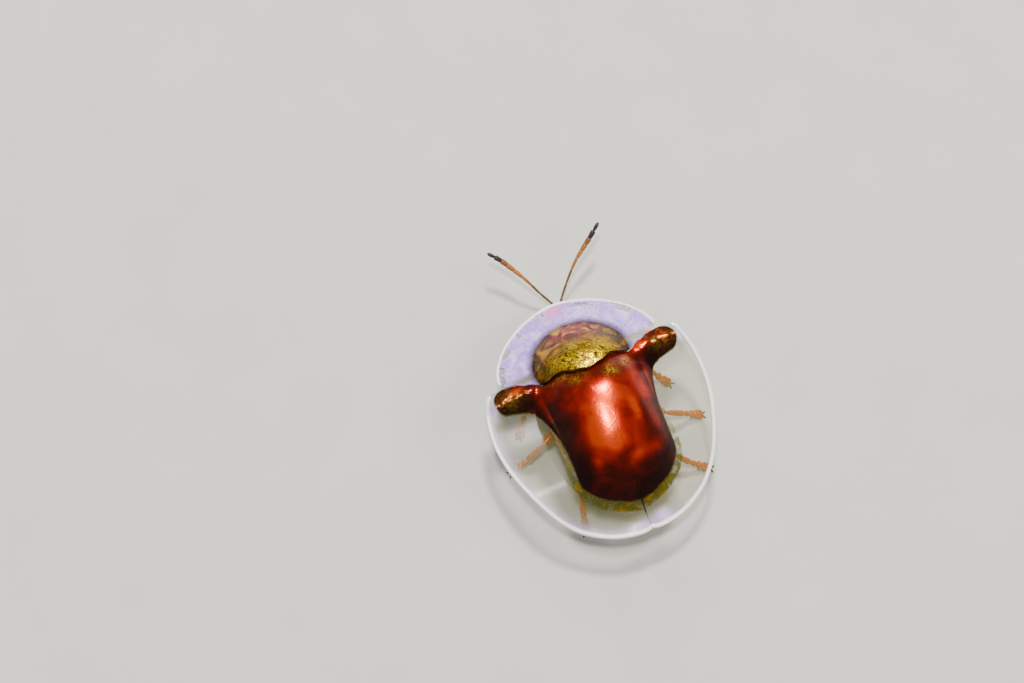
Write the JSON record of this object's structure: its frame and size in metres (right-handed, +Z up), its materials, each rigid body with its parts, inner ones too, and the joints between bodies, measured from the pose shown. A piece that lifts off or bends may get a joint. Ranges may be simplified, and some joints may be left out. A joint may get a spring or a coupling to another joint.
{
  "type": "tortoise beetle",
  "caption": "Still life-size tortoise beetle with domed wing cases, a clear flared margin, a collar shield over the head, feelers and legs, for display.",
  "frame": {"origin": "middle of the whole beetle's footprint, on the floor that its feet stand on", "axes": "+Z up, -Y towards the head, +X to the beetle's own left"},
  "size_m": [0.0074, 0.0108, 0.0034],
  "materials": {
    "wing_case": "polished cuticle, dark red disc in a clear margin",
    "collar_shield": "polished cuticle, golden disc in a clear margin",
    "body": "smooth amber cuticle",
    "eye": "fine glossy facets",
    "feeler": "amber cuticle with black last joints",
    "leg": "smooth orange amber cuticle"
  },
  "bodies": {
    "root": {"elytron_left": "wing_case", "elytron_right": "wing_case", "pronotum": "collar_shield", "scutellum": "wing_case", "prothorax": "body", "thorax": "body", "abdomen": "body", "head": "body", "eye_left": "eye", "eye_right": "eye", "antenna_left": "feeler", "antenna_right": "feeler", "leg_front_left": "leg", "leg_front_right": "leg", "leg_middle_left": "leg", "leg_middle_right": "leg", "leg_hind_left": "leg", "leg_hind_right": "leg"}
  },
  "joints": []
}
